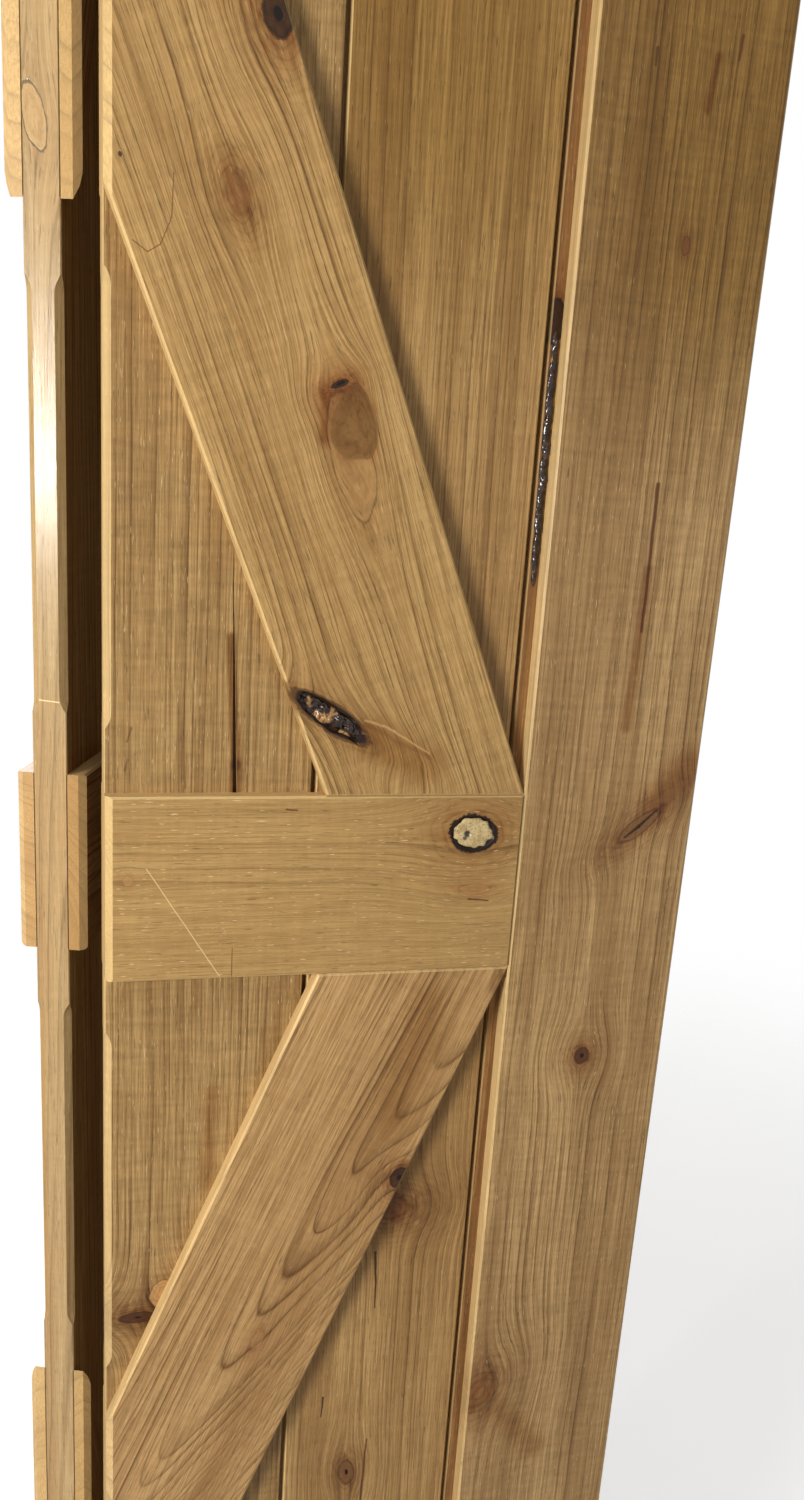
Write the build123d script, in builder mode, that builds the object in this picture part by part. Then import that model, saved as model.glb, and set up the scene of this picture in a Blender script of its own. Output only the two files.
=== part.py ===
from build123d import *
from math import cos, radians, sin, tan
import os

os.makedirs("parts", exist_ok=True)

# A bi-fold barn door: two solid wood leaves joined by two butt hinges and standing half folded.
# Each leaf is a core of three tongued boards with a frame planted on both faces. The braces run from
# the right leaf's stile across the fold to the left leaf's rails, as on one door sawn in two.
# X runs along the right leaf, away from the fold. -Y is the right leaf's front. Z is up from the floor.

# Driving sizes of one leaf, in millimetres
leaf_height = 2133.6
board_cover = 152.4
board_count = 3
core_thickness = 26.0
overlay_thickness = 13.5
stile_width = 142.9
top_rail_width = 142.9
mid_rail_width = 139.7
bottom_rail_width = 142.9
mid_rail_height = leaf_height / 2
brace_width = 142.9
brace_angle = 67.7

# Tongue and groove between the boards, with an open gap on both faces
board_gap = 4.0
tongue_thickness = 8.0
tongue_reach = 7.0
groove_clearance = 0.3
board_easing = 0.8

# A drying split in the right leaf's fold board, open from the mid rail upwards
split_foot = 94.0
split_tip = 88.0
split_height = 180.0
split_width = 3.4
split_depth = 6.0

# Edge work: a wide chamfer along the fold, a fine arris everywhere else
fold_chamfer = 5.2
arris = 1.6
chamfer_stop = 58.0
router_radius = 13.0

# Fold and hinges
fold_angle = 71.3
leaf_gap = 3.0
hinge_length = 89.0
hinge_margin = 36.0
plate_thickness = 2.4
plate_reach = 32.0
mortise_clearance = 0.2
screw_rows = 3
screw_row_inset = 14.0
screw_stagger = 5.0
screw_hole_radius = 2.4
countersink_radius = 4.2
countersink_angle = 82.0
barrel_radius = 7.0
barrel_stand_off = 10.5
knuckle_count = 5
knuckle_gap = 0.4
pin_radius = 3.0
pin_clearance = 0.05
pin_head_radius = 5.0
pin_head_height = 4.0

# Worked out from the driving sizes
leaf_width = board_cover * board_count
leaf_thickness = core_thickness + 2 * overlay_thickness
clear_width = leaf_width - stile_width
mid_rail_bottom = mid_rail_height - mid_rail_width / 2
mid_rail_top = mid_rail_height + mid_rail_width / 2
top_rail_bottom = leaf_height - top_rail_width
knuckle_pitch = hinge_length / knuckle_count


def turned(x, y):
    """A point of the right leaf, from the pin's axis, moved to its twin on the left leaf."""
    turn = radians(fold_angle)
    return x * cos(turn) + y * sin(turn), x * sin(turn) - y * cos(turn)


# Plan corners of the right leaf measured from the pin's axis, then both leaves' outer limits
near_x, far_x = leaf_gap / 2, leaf_gap / 2 + leaf_width
front_y, back_y = -barrel_stand_off - leaf_thickness, -barrel_stand_off
right_corners = [
    (near_x + fold_chamfer, front_y), (near_x, front_y + fold_chamfer),
    (near_x, back_y - fold_chamfer), (near_x + fold_chamfer, back_y),
    (far_x, front_y + arris), (far_x - arris, front_y),
    (far_x, back_y - arris), (far_x - arris, back_y),
]
all_corners = right_corners + [turned(x, y) for x, y in right_corners]
centre_x = (min(x for x, y in all_corners) + max(x for x, y in all_corners)) / 2
centre_y = (min(y for x, y in all_corners) + max(y for x, y in all_corners)) / 2

# The pin's axis, and the right leaf's planes, in the part's own frame
axis_x, axis_y = -centre_x, -centre_y
fold_x = axis_x + near_x
face_y = axis_y + front_y
front_face = Plane(origin=(fold_x, face_y, 0), x_dir=(1, 0, 0), z_dir=(0, -1, 0))
core_face = front_face.offset(-overlay_thickness)
core_back = core_face.offset(-core_thickness)
back_face = core_back.offset(-overlay_thickness)
half_turn = radians(fold_angle / 2)
fold_plane = Plane(
    origin=(axis_x, axis_y, 0),
    x_dir=(cos(half_turn), sin(half_turn), 0),
    z_dir=(-sin(half_turn), cos(half_turn), 0),
)

finished = []


def keep(part, name):
    """Label a finished piece and write it out."""
    part.label = name
    finished.append(part)
    export_step(part, f"parts/{name}.step")


def keep_left(part, name):
    """Keep the left leaf's piece, drawn on the right leaf and mirrored about the fold."""
    with BuildPart() as twin:
        mirror(part, about=fold_plane)
    keep(twin.part, f"left_{name}")


def cut_back(corners, u_limit=None, z_limit=None, side=1):
    """Corners of an outline trimmed at one line, keeping what lies on the given side of it."""
    kept = []
    for index, end in enumerate(corners):
        start = corners[index - 1]
        over = [
            side * (point[0] - u_limit if z_limit is None else point[1] - z_limit) for point in (start, end)
        ]
        if over[0] * over[1] < 0:
            share = over[0] / (over[0] - over[1])
            kept.append(tuple(a + share * (b - a) for a, b in zip(start, end)))
        if over[1] >= 0:
            kept.append(end)
    return kept


# A brace stands in the corner of mid rail and right stile, crosses the fold and ends at a rail on the left
def brace_outlines(rail_edge, end_rail_edge):
    """A brace's corners on the right and on the left leaf, each as (u, z) from the fold."""
    up = 1 if end_rail_edge > rail_edge else -1
    slope = tan(radians(brace_angle))
    foot = brace_width / sin(radians(brace_angle))
    run = 2 * clear_width
    strip = [
        (clear_width - foot, rail_edge),
        (clear_width, rail_edge),
        (clear_width - run, rail_edge + up * slope * run),
        (clear_width - foot - run, rail_edge + up * slope * run),
    ]
    strip = cut_back(strip, z_limit=end_rail_edge, side=-up)
    crossed = cut_back(cut_back(strip, u_limit=0, side=-1), u_limit=-clear_width)
    return cut_back(strip, u_limit=0), [(-u, z) for u, z in crossed]


upper_brace = brace_outlines(mid_rail_top, top_rail_bottom)
lower_brace = brace_outlines(mid_rail_bottom, bottom_rail_width)
upper_brace_end = min(z for u, z in upper_brace[1])
lower_brace_end = max(z for u, z in lower_brace[1])

# The hinges sit on the edge where the braces thicken it, a margin in from the braces' tips
upper_brace_tip = max(z for u, z in upper_brace[0] if u < arris)
lower_brace_tip = min(z for u, z in lower_brace[0] if u < arris)
hinge_heights = {
    "top": upper_brace_tip - hinge_margin - hinge_length / 2,
    "bottom": lower_brace_tip + hinge_margin + hinge_length / 2,
}


def rail_outline(bottom, top):
    """Corners of a rail between the fold and the stile, as (u, z)."""
    return [(0, bottom), (clear_width, bottom), (clear_width, top), (0, top)]


overlays = {
    "stile": [(clear_width, 0), (leaf_width, 0), (leaf_width, leaf_height), (clear_width, leaf_height)],
    "top_rail": rail_outline(top_rail_bottom, leaf_height),
    "mid_rail": rail_outline(mid_rail_bottom, mid_rail_top),
    "bottom_rail": rail_outline(0, bottom_rail_width),
}
braces = {"upper_brace": upper_brace, "lower_brace": lower_brace}


def stopped_chamfers(side, stops):
    """Cut the chamfers along the core's fold edge on one face, each with a router's round lead-in."""
    face = core_face if side == "front" else core_back
    inward = -1 if side == "front" else 1
    corner = face.origin
    for low, high in stops:
        section = Plane(origin=(corner.X, corner.Y, low), x_dir=(1, 0, 0), z_dir=(0, 0, 1))
        deep = -inward * fold_chamfer
        with BuildSketch(section) as triangle:
            with BuildLine():
                Polyline((0, 0), (fold_chamfer, 0), (0, deep), close=True)
            make_face()
        extrude(triangle.sketch, amount=high - low, mode=Mode.SUBTRACT)
        for end in (low, high):
            bit_centre = (corner.X - router_radius, corner.Y, end)
            with BuildSketch(Plane(origin=bit_centre, x_dir=(1, 0, 0), z_dir=(0, 0, 1))) as bit:
                with BuildLine():
                    Polyline(
                        (0, 0), (router_radius + fold_chamfer, 0), (router_radius, deep), (0, deep), close=True
                    )
                make_face()
            revolve(bit.sketch, axis=Axis(bit_centre, (0, 1, 0)), mode=Mode.SUBTRACT)


def hinge_mortises():
    """Cut the pockets that the hinge plates lie in, out of the edge of the piece being built."""
    for height in hinge_heights.values():
        with BuildSketch(Plane(origin=(fold_x, axis_y, height), x_dir=(0, 1, 0), z_dir=(1, 0, 0))) as pocket:
            with Locations((back_y - plate_reach / 2, 0)):
                Rectangle(plate_reach + 2 * mortise_clearance, hinge_length + 2 * mortise_clearance)
        extrude(pocket.sketch, amount=plate_thickness, mode=Mode.SUBTRACT)


def core_board(number):
    """One board of the right leaf's core: a groove towards the fold and a tongue away from it."""
    first, last = number == 0, number == board_count - 1
    left = number * board_cover + (0 if first else board_gap / 2)
    right = (number + 1) * board_cover - (0 if last else board_gap / 2)
    plan = Plane(origin=(fold_x, face_y + overlay_thickness + core_thickness / 2, 0))
    with BuildPart() as board:
        with BuildSketch(plan) as section:
            with Locations(((left + right) / 2, 0)):
                Rectangle(right - left, core_thickness)
            shoulders = section.vertices().filter_by(
                lambda v: (not first and v.X < fold_x + left + board_easing)
                or (not last and v.X > fold_x + right - board_easing)
            )
            chamfer(shoulders, length=board_easing)
            if not last:
                with Locations((right, 0)):
                    Rectangle(board_gap + tongue_reach, tongue_thickness, align=(Align.MIN, Align.CENTER))
            if not first:
                with Locations((left, 0)):
                    Rectangle(
                        tongue_reach + groove_clearance,
                        tongue_thickness + 2 * groove_clearance,
                        align=(Align.MIN, Align.CENTER),
                        mode=Mode.SUBTRACT,
                    )
        extrude(amount=leaf_height)
        if first:
            stops = [
                (lower_brace_end + chamfer_stop, mid_rail_bottom - chamfer_stop),
                (mid_rail_top + chamfer_stop, upper_brace_end - chamfer_stop),
            ]
            stopped_chamfers("front", stops)
            stopped_chamfers("back", stops)
            hinge_mortises()
    return board.part


def overlay(outline, side):
    """One planted piece of the right leaf: wide chamfer on its fold end, fine arris elsewhere."""
    base = core_face if side == "front" else back_face
    outer = 0 if side == "front" else -1
    with BuildPart() as piece:
        with BuildSketch(base):
            with BuildLine():
                Polyline(*outline, close=True)
            make_face()
        extrude(amount=overlay_thickness)
        at_fold = min(u for u, z in outline) < arris
        if at_fold:
            end = piece.faces().sort_by(Axis.Y)[outer].edges().sort_by(Axis.X)[0]
            chamfer(end, length=fold_chamfer)
        show = piece.faces().sort_by(Axis.Y)[outer].edges().sort_by(Axis.X)
        chamfer(show[1:] if at_fold else show, length=arris)
        if at_fold and side == "back":
            hinge_mortises()
    return piece.part


def split_fold_board(board):
    """The right leaf's fold board with its drying split cut into the front."""
    with BuildPart() as split_board:
        add(board)
        with BuildSketch(core_face):
            with BuildLine():
                Polyline(
                    (split_foot - split_width / 2, mid_rail_top - split_width),
                    (split_foot + split_width / 2, mid_rail_top - split_width),
                    (split_tip, mid_rail_top + split_height),
                    close=True,
                )
            make_face()
        extrude(amount=-split_depth, mode=Mode.SUBTRACT)
    return split_board.part


for number, place in enumerate(("fold", "middle", "outer")):
    board = core_board(number)
    keep(split_fold_board(board) if number == 0 else board, f"right_{place}_board")
    keep_left(board, f"{place}_board")

for side in ("front", "back"):
    for name, outline in overlays.items():
        piece = overlay(outline, side)
        keep(piece, f"right_{side}_{name}")
        keep_left(piece, f"{side}_{name}")
    for name, (right_outline, left_outline) in braces.items():
        keep(overlay(right_outline, side), f"right_{side}_{name}")
        keep_left(overlay(left_outline, side), f"{side}_{name}")


def hinge_plate(height, knuckles):
    """The right leaf's half of a butt hinge: a plate let into the edge and its share of the barrel."""
    bottom = height - hinge_length / 2
    with BuildPart() as plate:
        with BuildSketch(Plane(origin=(fold_x, axis_y, height), x_dir=(0, 1, 0), z_dir=(1, 0, 0))):
            reach_end = -barrel_radius - knuckle_gap
            start = back_y - plate_reach
            with Locations(((start + reach_end) / 2, 0)):
                Rectangle(reach_end - start, hinge_length)
        extrude(amount=plate_thickness)
        seat = Plane(origin=(fold_x, axis_y, height), x_dir=(0, -1, 0), z_dir=(-1, 0, 0))
        row_pitch = (hinge_length - 2 * screw_row_inset) / (screw_rows - 1)
        for row in range(screw_rows):
            side = screw_stagger if row % 2 else -screw_stagger
            across = plate_reach / 2 - back_y + side
            with Locations(seat.location * Location((across, row_pitch * (row - (screw_rows - 1) / 2), 0))):
                CounterSinkHole(screw_hole_radius, countersink_radius, counter_sink_angle=countersink_angle)
        for index in knuckles:
            low = bottom + index * knuckle_pitch + knuckle_gap / 2
            floor = Plane(origin=(axis_x, axis_y, low))
            with BuildSketch(floor):
                Circle(barrel_radius)
                with Locations((near_x + plate_thickness / 2, reach_end / 2)):
                    Rectangle(plate_thickness, -reach_end)
                Circle(pin_radius + pin_clearance, mode=Mode.SUBTRACT)
            extrude(amount=knuckle_pitch - knuckle_gap)
    return plate.part


def hinge_pin(height):
    """The loose pin of a butt hinge, with a turned head at each end of the barrel."""
    half = hinge_length / 2
    with BuildPart() as pin:
        with BuildSketch(Plane(origin=(axis_x, axis_y, height), x_dir=(1, 0, 0), z_dir=(0, -1, 0))):
            with BuildLine():
                Line((0, -half - pin_head_height), (0, half + pin_head_height))
                Line((0, half + pin_head_height), (pin_head_radius / 2, half + pin_head_height))
                RadiusArc((pin_head_radius / 2, half + pin_head_height), (pin_head_radius, half), pin_head_height)
                Line((pin_head_radius, half), (pin_radius, half))
                Line((pin_radius, half), (pin_radius, -half))
                Line((pin_radius, -half), (pin_head_radius, -half))
                RadiusArc((pin_head_radius, -half), (pin_head_radius / 2, -half - pin_head_height), pin_head_height)
                Line((pin_head_radius / 2, -half - pin_head_height), (0, -half - pin_head_height))
            make_face()
        revolve(axis=Axis((axis_x, axis_y, height), (0, 0, 1)))
    return pin.part


for name, height in hinge_heights.items():
    keep(hinge_plate(height, range(0, knuckle_count, 2)), f"{name}_hinge_right_plate")
    twin_half = hinge_plate(height, range(1, knuckle_count, 2))
    with BuildPart() as left_half:
        mirror(twin_half, about=fold_plane)
    keep(left_half.part, f"{name}_hinge_left_plate")
    keep(hinge_pin(height), f"{name}_hinge_pin")

whole = Compound(children=finished)
box = whole.bounding_box()
print("pieces:", len(finished))
print("size, mm:", box.size)
print("box centre in plan, mm:", box.center())
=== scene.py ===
import math
import random

import bpy
from mathutils import Matrix, Vector
from mathutils import noise as bumps


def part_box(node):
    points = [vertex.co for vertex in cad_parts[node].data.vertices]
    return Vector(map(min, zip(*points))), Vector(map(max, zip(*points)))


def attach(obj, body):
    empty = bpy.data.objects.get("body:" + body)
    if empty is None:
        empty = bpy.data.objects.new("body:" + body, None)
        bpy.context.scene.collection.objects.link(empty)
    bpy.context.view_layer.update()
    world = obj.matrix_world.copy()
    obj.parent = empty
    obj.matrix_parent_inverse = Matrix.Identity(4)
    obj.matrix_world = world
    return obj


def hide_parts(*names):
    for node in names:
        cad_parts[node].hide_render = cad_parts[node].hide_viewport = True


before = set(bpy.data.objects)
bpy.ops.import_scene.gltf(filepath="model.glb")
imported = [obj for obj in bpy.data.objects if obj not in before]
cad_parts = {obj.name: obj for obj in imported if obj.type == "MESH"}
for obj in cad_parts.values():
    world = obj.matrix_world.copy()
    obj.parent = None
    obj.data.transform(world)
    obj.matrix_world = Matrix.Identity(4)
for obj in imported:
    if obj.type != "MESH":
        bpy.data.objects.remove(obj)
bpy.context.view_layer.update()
bpy.ops.object.select_all(action="DESELECT")
print("door loaded,", len(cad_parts), "pieces")

mm = 0.001

# where the two leaves stand, in millimetres
leaf = {
    "fold": (-198.850, -258.916),   # fold edge and front face of the right leaf
    "pin": (-200.350, -195.416),
    "angle": 71.3,
    "middle": 1066.8,               # height of the mid rail's centre line
    "braceLean": 67.7,
}


def tone(red, green, blue):   # a colour as it looks on screen, made linear
    def linear(part):
        part /= 255
        return part / 12.92 if part <= 0.04045 else ((part + 0.055) / 1.055) ** 2.4
    return (linear(red), linear(green), linear(blue), 1)


def addNode(tree, kind, **settings):
    node = tree.nodes.new(kind)
    for key, value in settings.items():
        setattr(node, key, value)
    return node


def feed(tree, socket, value):
    if isinstance(value, bpy.types.NodeSocket):
        tree.links.new(value, socket)
    elif value is not None:
        socket.default_value = value


def calc(tree, operation, *values, clamp=False):
    node = addNode(tree, "ShaderNodeMath", operation=operation, use_clamp=clamp)
    for socket, value in zip(node.inputs, values):
        feed(tree, socket, value)
    return node.outputs[0]


def plus(tree, first, second):
    return calc(tree, "ADD", first, second)


def minus(tree, first, second):
    return calc(tree, "SUBTRACT", first, second)


def times(tree, first, second):
    return calc(tree, "MULTIPLY", first, second)


def vec(tree, operation, *values):
    node = addNode(tree, "ShaderNodeVectorMath", operation=operation)
    for socket, value in zip(node.inputs, values):
        feed(tree, socket, value)
    return node.outputs["Value" if operation in ("LENGTH", "DOT_PRODUCT", "DISTANCE") else "Vector"]


def split(tree, vector):
    node = addNode(tree, "ShaderNodeSeparateXYZ")
    feed(tree, node.inputs[0], vector)
    return node.outputs


def combine(tree, x, y, z):
    node = addNode(tree, "ShaderNodeCombineXYZ")
    for socket, value in zip(node.inputs, (x, y, z)):
        feed(tree, socket, value)
    return node.outputs[0]


def noise(tree, vector, stretch, detail=2.0, rough=0.5):
    node = addNode(tree, "ShaderNodeTexNoise")
    feed(tree, node.inputs["Vector"], vec(tree, "MULTIPLY", vector, stretch))
    node.inputs["Scale"].default_value = 1
    node.inputs["Detail"].default_value = detail
    node.inputs["Roughness"].default_value = rough
    return node.outputs[0]


def ease(tree, value, low, high, first=0.0, last=1.0):
    node = addNode(tree, "ShaderNodeMapRange", interpolation_type="SMOOTHSTEP")
    parts = {"Value": value, "From Min": low, "From Max": high, "To Min": first, "To Max": last}
    for key, part in parts.items():
        feed(tree, node.inputs[key], part)
    return node.outputs[0]


def mix(tree, amount, first, second, blend="MIX"):
    node = addNode(tree, "ShaderNodeMix", data_type="RGBA", blend_type=blend)
    feed(tree, node.inputs[0], amount)
    feed(tree, node.inputs[6], first)
    feed(tree, node.inputs[7], second)
    return node.outputs[2]


def tint(tree, colour, by):
    return mix(tree, 1.0, colour, by, "MULTIPLY")


def swing(tree, value, reach):   # a value from 0 to 1, made to swing about zero
    return times(tree, minus(tree, value, 0.5), reach)


def ramp(tree, value, stops):
    node = addNode(tree, "ShaderNodeValToRGB")
    points = node.color_ramp.elements
    while len(points) < len(stops):
        points.new(0.5)
    for point, (place, level) in zip(points, stops):
        point.position = place
        point.color = (level, level, level, 1)
    feed(tree, node.inputs[0], value)
    return node.outputs[0]


def startGroup(name, sockets, results):
    tree = bpy.data.node_groups.new(name, "ShaderNodeTree")
    kinds = {"v": "NodeSocketVector", "f": "NodeSocketFloat", "c": "NodeSocketColor"}
    for label, kind in sockets:
        tree.interface.new_socket(label, in_out="INPUT", socket_type=kinds[kind])
    for label, kind in results:
        tree.interface.new_socket(label, in_out="OUTPUT", socket_type=kinds[kind])
    return tree, tree.nodes.new("NodeGroupInput").outputs, tree.nodes.new("NodeGroupOutput").inputs


def useGroup(tree, group, **values):
    node = addNode(tree, "ShaderNodeGroup", node_tree=group)
    for key, value in values.items():
        feed(tree, node.inputs[key], value)
    return node.outputs


def makeKnotBend():   # spreads the grain apart round a knot, and measures how far off the knot is
    tree, give, take = startGroup(
        "knotBend",
        [("Point", "v"), ("Centre", "v"), ("Size", "v"), ("Turn", "f"), ("Spread", "f"), ("Pull", "f")],
        [("Point", "v"), ("Away", "f"), ("Offset", "v")],
    )
    off = vec(tree, "SUBTRACT", give["Point"], give["Centre"])
    flat = vec(tree, "MULTIPLY", off, (1, 1, 0))
    turned = addNode(tree, "ShaderNodeVectorRotate", rotation_type="Z_AXIS")
    feed(tree, turned.inputs["Vector"], flat)
    feed(tree, turned.inputs["Angle"], times(tree, give["Turn"], -1))
    scaled = vec(tree, "DIVIDE", turned.outputs[0], give["Size"])
    wobble = swing(tree, noise(tree, scaled, (0.9, 0.9, 0.9), 2), 0.42)
    away = plus(tree, vec(tree, "LENGTH", scaled), wobble)
    share = calc(tree, "POWER", calc(tree, "DIVIDE", away, give["Spread"]), 2)
    pull = times(tree, give["Pull"], calc(tree, "EXPONENT", times(tree, share, -1)))
    across = times(tree, split(tree, off)[1], pull)
    feed(tree, take["Point"], vec(tree, "SUBTRACT", give["Point"], combine(tree, 0, across, 0)))
    feed(tree, take["Away"], away)
    feed(tree, take["Offset"], scaled)
    return tree


def makeGrain():
    tree, give, take = startGroup(
        "alderGrain",
        [("Point", "v"), ("Seed", "v"), ("Pith", "v"), ("Taper", "f"), ("Spacing", "f"), ("Lines", "f"),
         ("Pale", "c"), ("Tan", "c"), ("Warm", "c"), ("Warmth", "f"), ("Figure", "f"), ("Drift", "f"),
         ("Flecks", "f")],
        [("Colour", "c"), ("Height", "f")],
    )
    point = give["Point"]
    spot = vec(tree, "ADD", point, give["Seed"])
    wander = swing(tree, noise(tree, spot, (0.0022, 0.010, 0.010), 2), 20)
    ripple = swing(tree, noise(tree, spot, (0.012, 0.05, 0.05), 2), 1.8)
    fromPith = split(tree, vec(tree, "SUBTRACT", point, give["Pith"]))
    sideways = plus(tree, fromPith[1], plus(tree, wander, ripple))
    sideways = minus(tree, sideways, times(tree, give["Drift"], fromPith[0]))
    square = plus(tree, calc(tree, "POWER", sideways, 2), calc(tree, "POWER", fromPith[2], 2))
    radius = plus(tree, calc(tree, "SQRT", square), times(tree, give["Taper"], fromPith[0]))
    count = calc(tree, "DIVIDE", radius, give["Spacing"])
    years = addNode(tree, "ShaderNodeTexNoise", noise_dimensions="1D")
    years.inputs["Scale"].default_value = 0.45
    feed(tree, years.inputs["W"], count)
    count = plus(tree, count, swing(tree, years.outputs[0], 2.6))
    season = calc(tree, "FRACT", count)
    line = ramp(tree, season, [(0, 0.2), (0.12, 0.0), (0.55, 0.08), (0.84, 0.45), (0.94, 1.0), (1.0, 0.2)])
    faint = noise(tree, spot, (0.004, 0.03, 0.03), 2)
    strength = times(tree, ease(tree, faint, 0.25, 0.7, 0.25, 1.0), give["Lines"])
    line = times(tree, line, strength)

    fibre = noise(tree, spot, (0.016, 0.75, 0.75), 4, 0.62)
    fine = noise(tree, spot, (0.05, 2.4, 2.4), 2, 0.6)
    band = noise(tree, spot, (0.0016, 0.026, 0.026), 3, 0.5)
    dash = ease(tree, noise(tree, spot, (0.075, 1.25, 1.25), 1, 0.4), 0.66, 0.74)
    speck = ease(tree, noise(tree, spot, (0.25, 1.1, 1.1), 1, 0.4), 0.68, 0.76)
    figure = minus(tree, noise(tree, spot, (0.20, 0.035, 0.035), 2), 0.5)

    base = mix(tree, ease(tree, fibre, 0.32, 0.68), give["Pale"], give["Tan"])
    warm = times(tree, ease(tree, band, 0.42, 0.66), give["Warmth"])
    base = mix(tree, warm, base, give["Warm"])
    dark = tint(tree, base, tone(142, 117, 90))
    base = mix(tree, line, base, dark)
    shade = plus(tree, 1.0, swing(tree, fine, 0.62))
    shade = plus(tree, shade, times(tree, figure, give["Figure"]))
    shade = minus(tree, shade, times(tree, dash, 0.42))
    shade = minus(tree, shade, times(tree, speck, 0.22))
    wood = tint(tree, base, combine(tree, shade, shade, shade))
    # cream flecks: partly pale flecks in the wood, partly painted glints standing in for specular sparkle
    # on the grain
    fleckAndGlint = ease(tree, noise(tree, spot, (0.11, 1.5, 1.5), 1, 0.4), 0.70, 0.77)
    wood = mix(tree, times(tree, fleckAndGlint, give["Flecks"]), wood, tone(238, 212, 160))
    feed(tree, take["Colour"], wood)
    rise = plus(tree, times(tree, fibre, 0.5), times(tree, fine, 0.35))
    rise = minus(tree, rise, times(tree, line, 0.3))
    feed(tree, take["Height"], minus(tree, rise, times(tree, dash, 0.5)))
    return tree


def makeKnotPaint():
    tree, give, take = startGroup(
        "knotPaint",
        [("Colour", "c"), ("Height", "f"), ("Away", "f"), ("Offset", "v"), ("Stain", "c"), ("Halo", "f"),
         ("Reach", "f"), ("Rim", "f"), ("RimWidth", "f"), ("Core", "c"), ("Fill", "f"), ("Rings", "f"),
         ("Hole", "f")],
        [("Colour", "c"), ("Height", "f")],
    )
    away = give["Away"]
    beyond = calc(tree, "MAXIMUM", minus(tree, away, 1), 0)
    fade = calc(tree, "EXPONENT", times(tree, calc(tree, "DIVIDE", beyond, give["Reach"]), -1))
    halo = times(tree, times(tree, fade, give["Halo"]),
                ease(tree, noise(tree, give["Offset"], (1.1, 1.6, 1.6), 3), 0.2, 0.75, 0.5, 1.1))
    colour = mix(tree, halo, give["Colour"], tint(tree, give["Colour"], give["Stain"]))
    stray = times(tree, noise(tree, give["Offset"], (0.8, 1.3, 1.3), 3), 5)
    ringed = calc(tree, "SINE", plus(tree, times(tree, away, 13), stray))
    near = times(tree, fade, ease(tree, ringed, 0.35, 0.95))
    colour = mix(tree, times(tree, near, times(tree, give["Halo"], 0.40)), colour,
                 tint(tree, colour, tone(165, 125, 90)))
    inside = ease(tree, away, 0.94, 1.02, 1.0, 0.0)
    turns = calc(tree, "SINE", plus(tree, times(tree, away, give["Rings"]), stray))
    grit = noise(tree, give["Offset"], (5.5, 5.5, 5.5), 4, 0.6)
    core = mix(tree, ease(tree, turns, 0.0, 1.0, 0.0, 0.30), give["Core"],
               tint(tree, give["Core"], tone(170, 130, 95)))
    core = mix(tree, ease(tree, grit, 0.45, 0.75, 0.0, 0.6), core, tint(tree, core, tone(150, 110, 78)))
    colour = mix(tree, times(tree, inside, give["Fill"]), colour, core)
    width = times(tree, give["RimWidth"], ease(tree, grit, 0.3, 0.7, 0.55, 1.45))
    rim = calc(tree, "DIVIDE", calc(tree, "ABSOLUTE", minus(tree, away, 1)), width)
    rim = times(tree, ease(tree, rim, 0.6, 1.15, 1.0, 0.0), give["Rim"])
    colour = mix(tree, rim, colour, tone(28, 15, 8))
    inner, outer = times(tree, give["Hole"], 0.7), times(tree, give["Hole"], 1.15)
    hole = ease(tree, away, inner, outer, 1.0, 0.0)
    hole = times(tree, hole, ease(tree, give["Hole"], 0.005, 0.02))
    colour = mix(tree, hole, colour, tone(16, 9, 6))
    feed(tree, take["Colour"], colour)
    sink = plus(tree, times(tree, rim, 1.2), times(tree, hole, 2.5))
    sink = plus(tree, sink, times(tree, times(tree, inside, give["Fill"]), times(tree, grit, 0.8)))
    feed(tree, take["Height"], minus(tree, give["Height"], sink))
    return tree


def makeStroke():   # a streak, check or scratch between two points, tapering from one width to the other; also the broad bands of painted shade
    tree, give, take = startGroup(
        "stroke",
        [("Colour", "c"), ("Height", "f"), ("Point", "v"), ("From", "v"), ("Along", "v"), ("Start", "f"),
         ("End", "f"), ("Soft", "f"), ("Wander", "f"), ("Ink", "c"), ("Soak", "f"), ("Amount", "f"),
         ("Sink", "f")],
        [("Colour", "c"), ("Height", "f")],
    )
    sway = minus(tree, noise(tree, give["Point"], (0.035, 0.06, 0.06), 3), 0.5)
    off = vec(tree, "SUBTRACT", give["Point"], give["From"])
    off = vec(tree, "ADD", off, combine(tree, 0, times(tree, sway, give["Wander"]), 0))
    off = vec(tree, "MULTIPLY", off, (1, 1, 0))
    share = calc(tree, "DIVIDE", vec(tree, "DOT_PRODUCT", off, give["Along"]),
                 vec(tree, "DOT_PRODUCT", give["Along"], give["Along"]), clamp=True)
    nearest = addNode(tree, "ShaderNodeVectorMath", operation="SCALE")
    feed(tree, nearest.inputs[0], give["Along"])
    feed(tree, nearest.inputs["Scale"], share)
    gap = vec(tree, "LENGTH", vec(tree, "SUBTRACT", off, nearest.outputs[0]))
    width = plus(tree, give["Start"], times(tree, share, minus(tree, give["End"], give["Start"])))
    outer = plus(tree, width, give["Soft"])
    mask = times(tree, ease(tree, gap, width, outer, 1.0, 0.0), give["Amount"])
    ink = mix(tree, give["Soak"], give["Ink"], tint(tree, give["Colour"], give["Ink"]))
    feed(tree, take["Colour"], mix(tree, mask, give["Colour"], ink))
    feed(tree, take["Height"], minus(tree, give["Height"], times(tree, mask, give["Sink"])))
    return tree


knotBend, grainGroup, knotPaint, strokeGroup = makeKnotBend(), makeGrain(), makeKnotPaint(), makeStroke()
print("wood node groups made")


def onLeaf(side, x, y, height):   # a place x and y from the pin on the right leaf, or on its mirror twin
    if side == "left":
        cosine, sine = math.cos(math.radians(leaf["angle"])), math.sin(math.radians(leaf["angle"]))
        x, y = x * cosine + y * sine, x * sine - y * cosine
    return Vector((leaf["pin"][0] + x, leaf["pin"][1] + y, height)) * mm


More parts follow.
